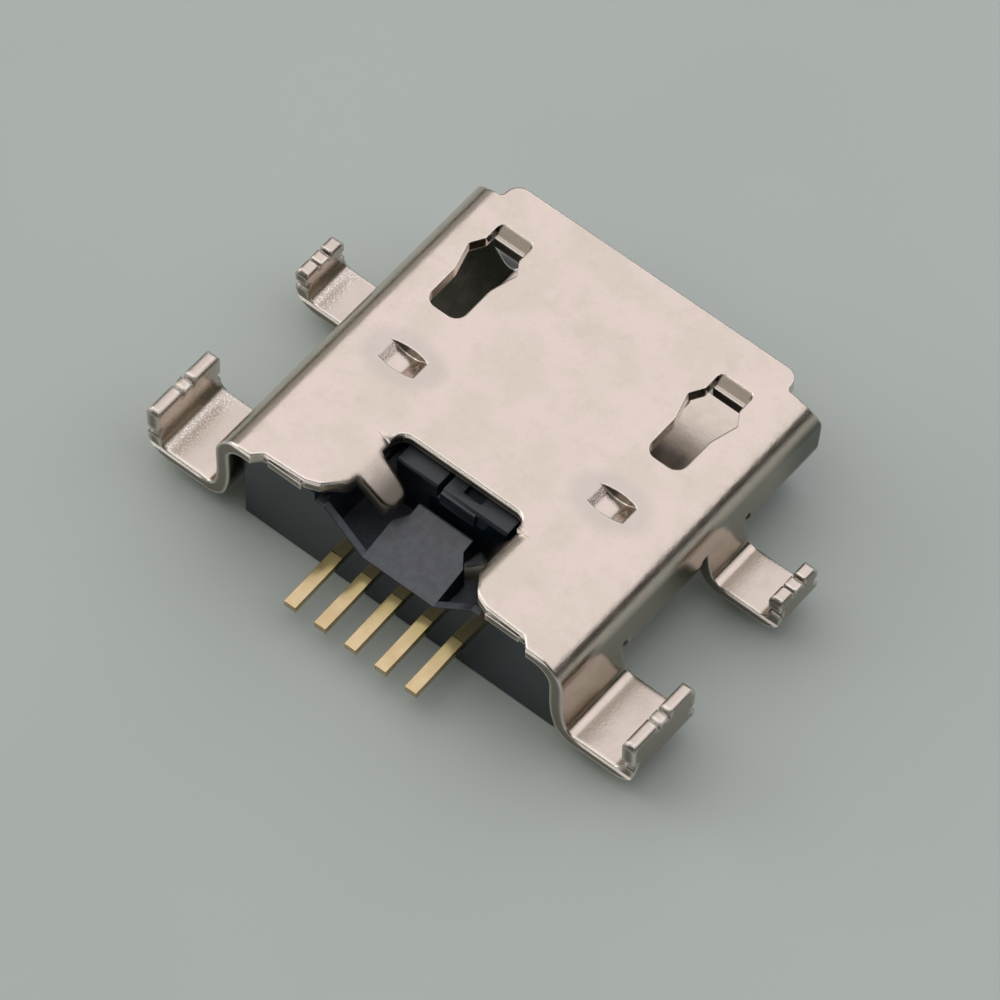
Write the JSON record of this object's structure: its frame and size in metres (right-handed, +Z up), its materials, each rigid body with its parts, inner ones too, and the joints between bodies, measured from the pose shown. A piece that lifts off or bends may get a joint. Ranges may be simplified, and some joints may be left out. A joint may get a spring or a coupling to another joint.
{
  "type": "micro usb socket",
  "caption": "Sunk micro USB receptacle for the edge of a circuit board: folded plated shell with board legs, black moulded tongue and gilded contacts with solder tails.",
  "frame": {"origin": "centre of the bounding box in X and Y, at the level of the shell's narrow face, on which the part rests", "axes": "+X across the socket, +Y out of its mouth, +Z up from the narrow face to the wide face with the latch openings; when fitted, the board lies on the leg flats and tails, facing +Z"},
  "size_m": [0.0104, 0.008, 0.0023],
  "materials": {
    "plated_steel": "satin bright nickel plating with fine speckle and bright sheared edges",
    "black_moulding": "semi-gloss black moulding",
    "gilded_contact": "thin gold plating, satin"
  },
  "bodies": {
    "root": {"shell": "plated_steel", "housing": "black_moulding", "contact_1": "gilded_contact", "contact_2": "gilded_contact", "contact_3": "gilded_contact", "contact_4": "gilded_contact", "contact_5": "gilded_contact"}
  },
  "joints": []
}
